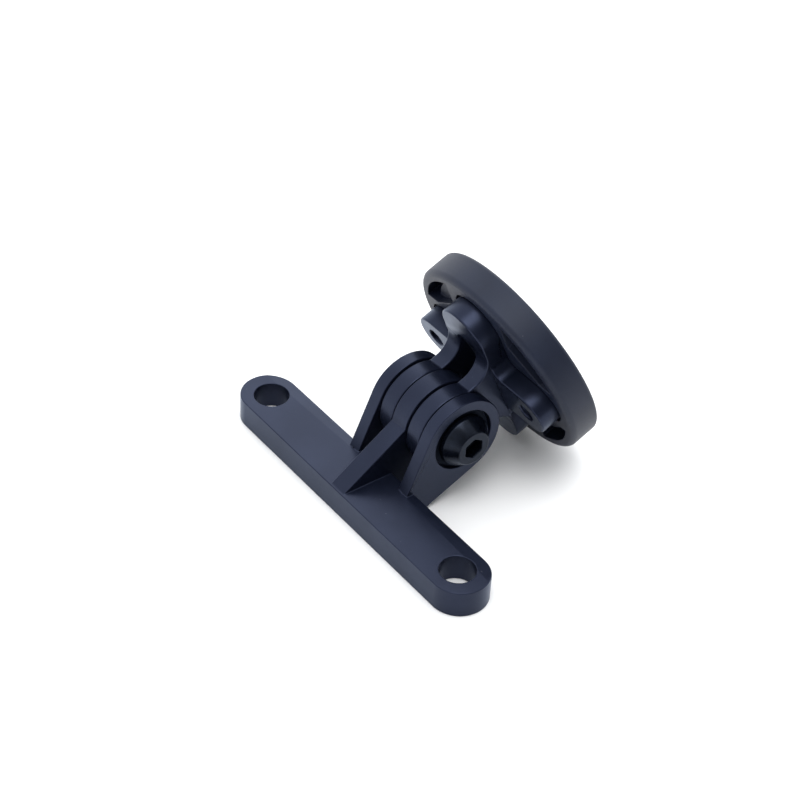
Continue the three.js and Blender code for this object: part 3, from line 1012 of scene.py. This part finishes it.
print("small screws", 2 * SMALL_HEAD, "mm across the head and", round(SMALL_HEAD_TOP - SMALL_END, 2), "long")

# %% [markdown]
# ## Shaping the disc
# A mould would form all of this at once. Here the turned blank is cut from both sides. The rear
# comes first, with the seat for the flange and the pockets. The front gets the well, the groove
# behind its lip and the notches, and the holes for the screws go through last.

# %% Make the disc
def make_disc():
    """Cuts the turned blank from its rear and its front."""
    puck = disc_profile().lathe("receiver_disc", DISC_STEPS)
    cut(puck, cross_outline(SEAT_MARGIN).plate("seat", "Y", REAR - PAST, REAR + SEAT_DEPTH))
    cut(puck, *pockets())
    cut(puck, disc(0, 0, WELL_RADIUS).plate("well", "Y", WELL_FLOOR, FRONT + PAST))
    cut(puck, disc(0, 0, LUG_RADIUS).plate("groove", "Y", WELL_FLOOR, FRONT - LIP))
    cut(puck, notch(-1), notch(1), countersink(-1), countersink(1))
    break_edges(puck, DISC_EDGE)
    return put(puck, HEAD_PLACE, "head", "puck_body", MATTE_PLASTIC)


make_disc()

# %% [markdown]
# ## The two small screws
# Countersunk screws hold the disc on the flange. Their heads lie under the floor of the well,
# where a fitting slides over them, and their ends stop short of the lobes' rear faces. They are
# turned and broached as the clamping screw is. Little of their shanks can be seen, so those
# stay plain.

# %% Make the small screws
def make_small_screw(side, name, node):
    """Turns a screw on the axis of the disc, and moves it out to its lobe."""
    pen = Pen(0, SMALL_END).line(SMALL_SHANK - SMALL_END_CHAMFER, SMALL_END)
    pen.line(SMALL_SHANK, SMALL_END + SMALL_END_CHAMFER)
    pen.line(SMALL_SHANK, SMALL_HEAD_TOP - SMALL_HEAD_HEIGHT)
    pen.line(SMALL_HEAD, SMALL_HEAD_TOP - SMALL_HEAD_RIM).line(SMALL_HEAD, SMALL_HEAD_TOP)
    screw = pen.line(0, SMALL_HEAD_TOP).lathe(name, SMALL_STEPS)
    screw.data.transform(Matrix.Translation((side * LOBE_X, 0, 0)))
    socket = hexagon(side * LOBE_X, 0, SMALL_SOCKET_ACROSS)
    cut(screw, socket.plate("broach", "Y", SMALL_HEAD_TOP - SMALL_SOCKET_DEPTH, SMALL_HEAD_TOP + PAST))
    break_edges(screw, SMALL_EDGE)
    return put(screw, HEAD_PLACE, "head", node, BLACK_STEEL)


make_small_screw(-1, "disc_screw_left", "receiver_screw_left")
make_small_screw(1, "disc_screw_right", "receiver_screw_right")

# %% [markdown]
# ## The floor
# A small black object shows little but what it reflects, so it stands on a pale floor. One wide
# sheet is enough, a hair below the bar, so that the two faces don't lie in one plane. Its tone
# drifts very slightly, because no sheet of paper is one even white.

# %% Floor
FLOOR_SIZE = 4
FLOOR_DROP = 0.00002
PAPER_GREY = (0.9, 0.9, 0.9, 1)
PAPER_WHITE = (0.93, 0.93, 0.93, 1)


def make_floor():
    """A sheet of pale paper that belongs to the stage and not to the bracket."""
    bm = bmesh.new()
    bmesh.ops.create_grid(bm, x_segments=2, y_segments=2, size=FLOOR_SIZE)
    floor = solid("floor", bm)
    floor.location.z = -FLOOR_DROP
    finish = Finish("pale_floor")
    tone = finish.noise(size_mm=400, detail=2)
    finish.set(Base_Color=finish.blend(tone, PAPER_GREY, PAPER_WHITE), Roughness=0.6)
    floor.data.materials.append(finish.material)
    print("floor", round(FLOOR_DROP * 1000, 2), "mm below the bar")


make_floor()

# %% [markdown]
# ## Light
# Lamps alone would leave every face that they miss pure black, so most of the light is a pale
# surround, like a white tent. In an even tent all faces would look alike. Two dimmer patches
# stand for the darker sides of a room, one low on the right and one in front, and they set the
# tops, the fronts and the ears' faces apart. One soft box overhead gives the tops their sheen,
# and a weak one at the back left lifts the far sides.

# %% Soft boxes
KEY_BOX = ((0.2, -0.1, 0.95), 0.55, 3.5)
WINDOW_BOX = ((-0.65, 0.6, 0.55), 0.7, 0.9)


def softbox(name, place, size, power):
    """A square soft light that looks at the hinge."""
    light = bpy.data.lights.new(name, "AREA")
    light.shape = "SQUARE"
    light.size = size
    light.energy = power
    lamp = bpy.data.objects.new(name, light)
    bpy.context.scene.collection.objects.link(lamp)
    lamp.location = place
    aim = HINGE * MM - Vector(place)
    lamp.rotation_euler = aim.to_track_quat("-Z", "Y").to_euler()
    return lamp


softbox("key", *KEY_BOX)
softbox("window", *WINDOW_BOX)

# %% The pale surround
SURROUND_STRENGTH = 1.95
SURROUND_COLOUR = (0.97, 0.985, 1, 1)
# Each patch has the way it lies, how near to that way it begins and is full, and how bright it is.
DIM_PATCHES = (((0.95, -0.05, 0.2), 0.35, 0.95, 0.12), ((-0.2, -0.85, 0.45), 0.25, 0.9, 0.7))


def pale_surround():
    """A white tent, dimmed towards each patch."""
    world = bpy.data.worlds.new("pale_surround")
    world.use_nodes = True
    tree = world.node_tree
    sky = tree.nodes["Background"]
    sky.inputs["Color"].default_value = SURROUND_COLOUR
    spot = tree.nodes.new("ShaderNodeTexCoord")
    strength = None
    for toward, start, end, bright in DIM_PATCHES:
        alike = tree.nodes.new("ShaderNodeVectorMath")
        alike.operation = "DOT_PRODUCT"
        tree.links.new(spot.outputs["Generated"], alike.inputs[0])
        alike.inputs[1].default_value = Vector(toward).normalized()
        dim = tree.nodes.new("ShaderNodeMapRange")
        dim.interpolation_type = "SMOOTHSTEP"
        tree.links.new(alike.outputs["Value"], dim.inputs["Value"])
        for name, value in (("From Min", start), ("From Max", end),
                            ("To Min", 1.0), ("To Max", bright)):
            dim.inputs[name].default_value = value
        scaled = tree.nodes.new("ShaderNodeMath")
        scaled.operation = "MULTIPLY"
        scaled.inputs[1].default_value = SURROUND_STRENGTH
        tree.links.new(dim.outputs["Result"], scaled.inputs[0])
        if strength:
            tree.links.new(strength, scaled.inputs[1])
        strength = scaled.outputs["Value"]
    tree.links.new(strength, sky.inputs["Strength"])
    bpy.context.scene.world = world


pale_surround()
bpy.context.scene.view_settings.view_transform = "Standard"
print("surround of strength", SURROUND_STRENGTH, "with", len(DIM_PATCHES), "dim patches")

# %% [markdown]
# ## Camera
# The view is from above the bar's right end, through a short telephoto lens, because a wide one
# close by would stretch the round ends. The camera is placed by two angles and a distance from
# a point on the bracket, because that is how one moves round a small object.

# %% Camera
AIM = Vector((-8.1, 13.2, 8.0)) * MM
DISTANCE = 330.6 * MM
AZIMUTH = math.radians(50.92)
ELEVATION = math.radians(39.36)
ROLL = math.radians(3.5)
LENS = 97.2
SENSOR = 36
NEAREST = 0.01


def make_camera():
    """Stands the camera off from the point it aims at."""
    away = Vector((math.sin(AZIMUTH) * math.cos(ELEVATION), -math.cos(AZIMUTH) * math.cos(ELEVATION),
                   math.sin(ELEVATION)))
    camera = bpy.data.objects.new("camera", bpy.data.cameras.new("camera"))
    bpy.context.scene.collection.objects.link(camera)
    camera.location = AIM + away * DISTANCE
    turn = (-away).to_track_quat("-Z", "Y").to_matrix().to_4x4() @ Matrix.Rotation(ROLL, 4, "Z")
    camera.rotation_euler = turn.to_euler()
    camera.data.lens = LENS
    camera.data.sensor_width = SENSOR
    camera.data.clip_start = NEAREST
    bpy.context.scene.camera = camera
    print("camera at", [round(c, 3) for c in camera.location])


make_camera()
